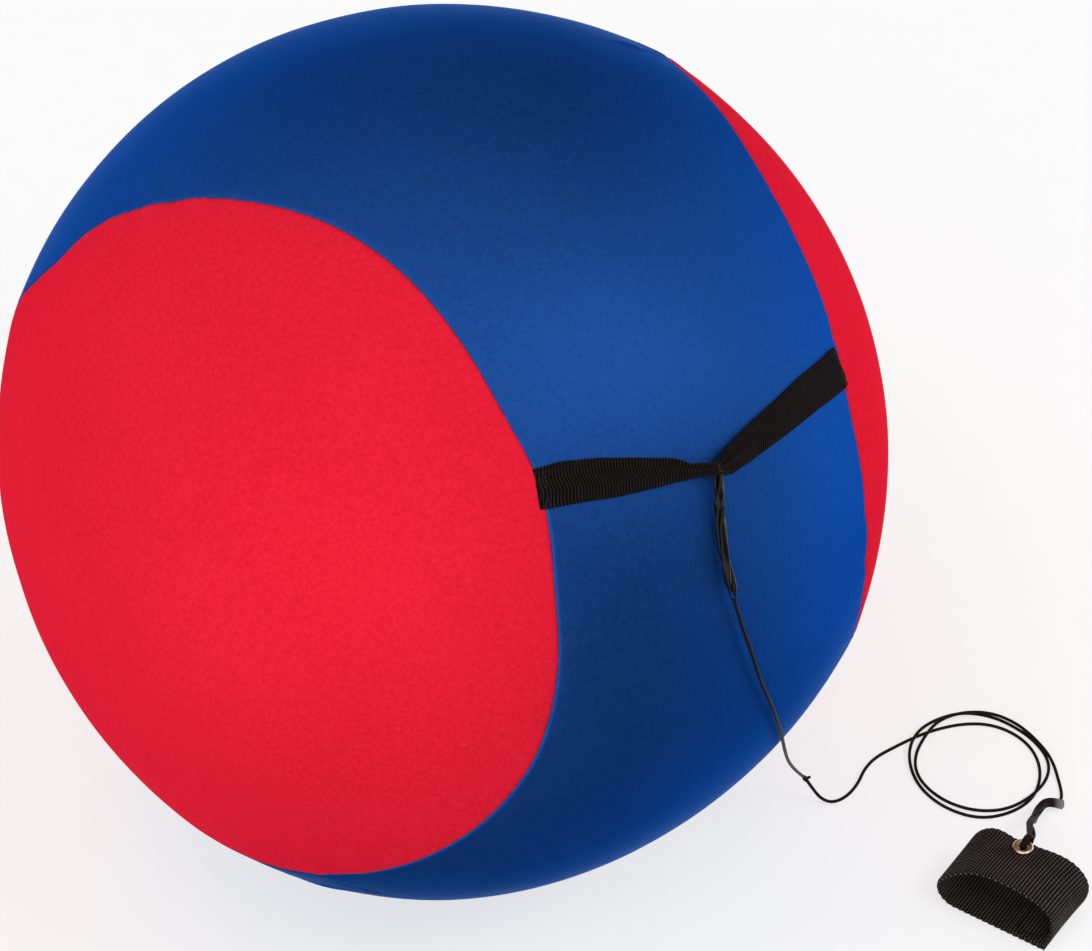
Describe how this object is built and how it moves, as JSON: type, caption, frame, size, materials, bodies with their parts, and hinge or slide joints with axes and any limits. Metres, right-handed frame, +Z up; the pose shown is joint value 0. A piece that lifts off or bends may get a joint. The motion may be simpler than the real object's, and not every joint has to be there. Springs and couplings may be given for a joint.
{
  "type": "tetherball set",
  "caption": "Large fabric-covered inflatable ball on a thin elastic tether that ends in a webbing hand strap.",
  "frame": {"origin": "centre of the flat patch the ball rests on", "axes": "+Z up; -Y towards the side that the ball strap and tether face; +X towards the side where the coil and hand strap lie"},
  "size_m": [0.6161, 0.4998, 0.4985],
  "materials": {
    "red_fabric": "satin woven polyester",
    "blue_fabric": "satin woven polyester",
    "black_elastic": "knitted elastic",
    "black_webbing": "ribbed polypropylene webbing",
    "black_cord": "braided elastic cord",
    "black_rubber": "glossy rubber strip",
    "black_thread": "sewing thread",
    "bladder_rubber": "smooth vulcanised rubber",
    "valve_rubber": "moulded rubber",
    "zip_tape": "woven polyester tape",
    "zip_teeth": "nylon coil",
    "zip_metal": "black enamel",
    "eyelet_brass": "polished brass"
  },
  "bodies": {
    "root": {"bladder": "bladder_rubber", "valve_seat": "valve_rubber", "valve_plug": "valve_rubber", "red_panel": "red_fabric", "blue_panel": "blue_fabric", "seam_thread": "black_thread", "zip_tape": "zip_tape", "zip_teeth": "zip_teeth", "zip_stops": "zip_metal", "ball_strap": "black_elastic", "strap_tacks": "black_thread", "ball_link": "black_rubber", "lead_cord": "black_cord", "splice_knot": "black_cord", "tether_cord": "black_cord", "tether_coil": "black_cord", "tether_tail": "black_cord", "strap_link": "black_rubber"},
    "slider": {"zip_slider": "zip_metal"},
    "pull": {"zip_pull": "zip_metal"},
    "hand_loop": {"hand_strap": "black_webbing", "strap_stitching": "black_thread", "eyelet": "eyelet_brass", "eyelet_washer": "eyelet_brass"}
  },
  "joints": [
    {"name": "zip_travel", "type": "hinge", "parent": "root", "child": "slider", "pos_m": [0, 0, 0.2485], "axis": [-0.2557, 0.4837, 0.837], "range_deg": [0, 36.6]},
    {"name": "pull_flip", "type": "hinge", "parent": "slider", "child": "pull", "pos_m": [-0.07318, 0.19933, 0.11095], "axis": [-0.2557, 0.4837, 0.837], "range_deg": [0, 180]},
    {"name": "hand_swing", "type": "hinge", "parent": "root", "child": "hand_loop", "pos_m": [0.33242, -0.1171, 0.0376], "axis": [-0.8039, 0.5948, 0], "range_deg": [0, 110]}
  ]
}
